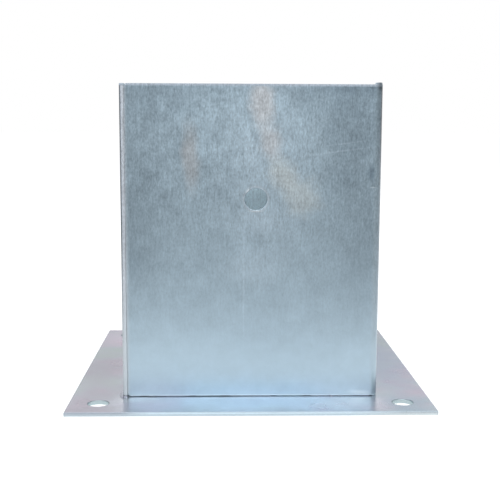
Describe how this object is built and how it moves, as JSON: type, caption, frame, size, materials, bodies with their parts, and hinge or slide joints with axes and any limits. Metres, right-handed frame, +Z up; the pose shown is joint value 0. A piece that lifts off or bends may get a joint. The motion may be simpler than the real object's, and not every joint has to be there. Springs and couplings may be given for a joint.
{
  "type": "timber post base",
  "caption": "Bolt-down base for a square timber post: a folded sheet-metal sleeve with fixing holes, welded upright on a flat square anchor plate.",
  "frame": {"origin": "centre of the plate's underside, where it rests on the footing", "axes": "+Z up along the post; -Y out of the front wall of the sleeve; +X out of the right wall"},
  "size_m": [0.175, 0.175, 0.1547],
  "materials": {
    "zinc_plate": "bright zinc plating on flat sheet, smooth, with a faint iridescent passivation",
    "zinc_sleeve": "bright zinc plating on folded sheet, fine upright grain and cloudy blue-grey passivation stains",
    "zinc_weld": "zinc plating over weld metal, duller and rougher"
  },
  "bodies": {
    "root": {"base_plate": "zinc_plate", "shell_front_right": "zinc_sleeve", "shell_back_left": "zinc_sleeve", "foot_weld_front": "zinc_weld", "foot_weld_right": "zinc_weld", "foot_weld_back": "zinc_weld", "foot_weld_left": "zinc_weld", "seam_weld_front_left": "zinc_weld", "seam_weld_back_right": "zinc_weld", "corner_tack_front_left": "zinc_weld", "corner_tack_back_right": "zinc_weld"}
  },
  "joints": []
}
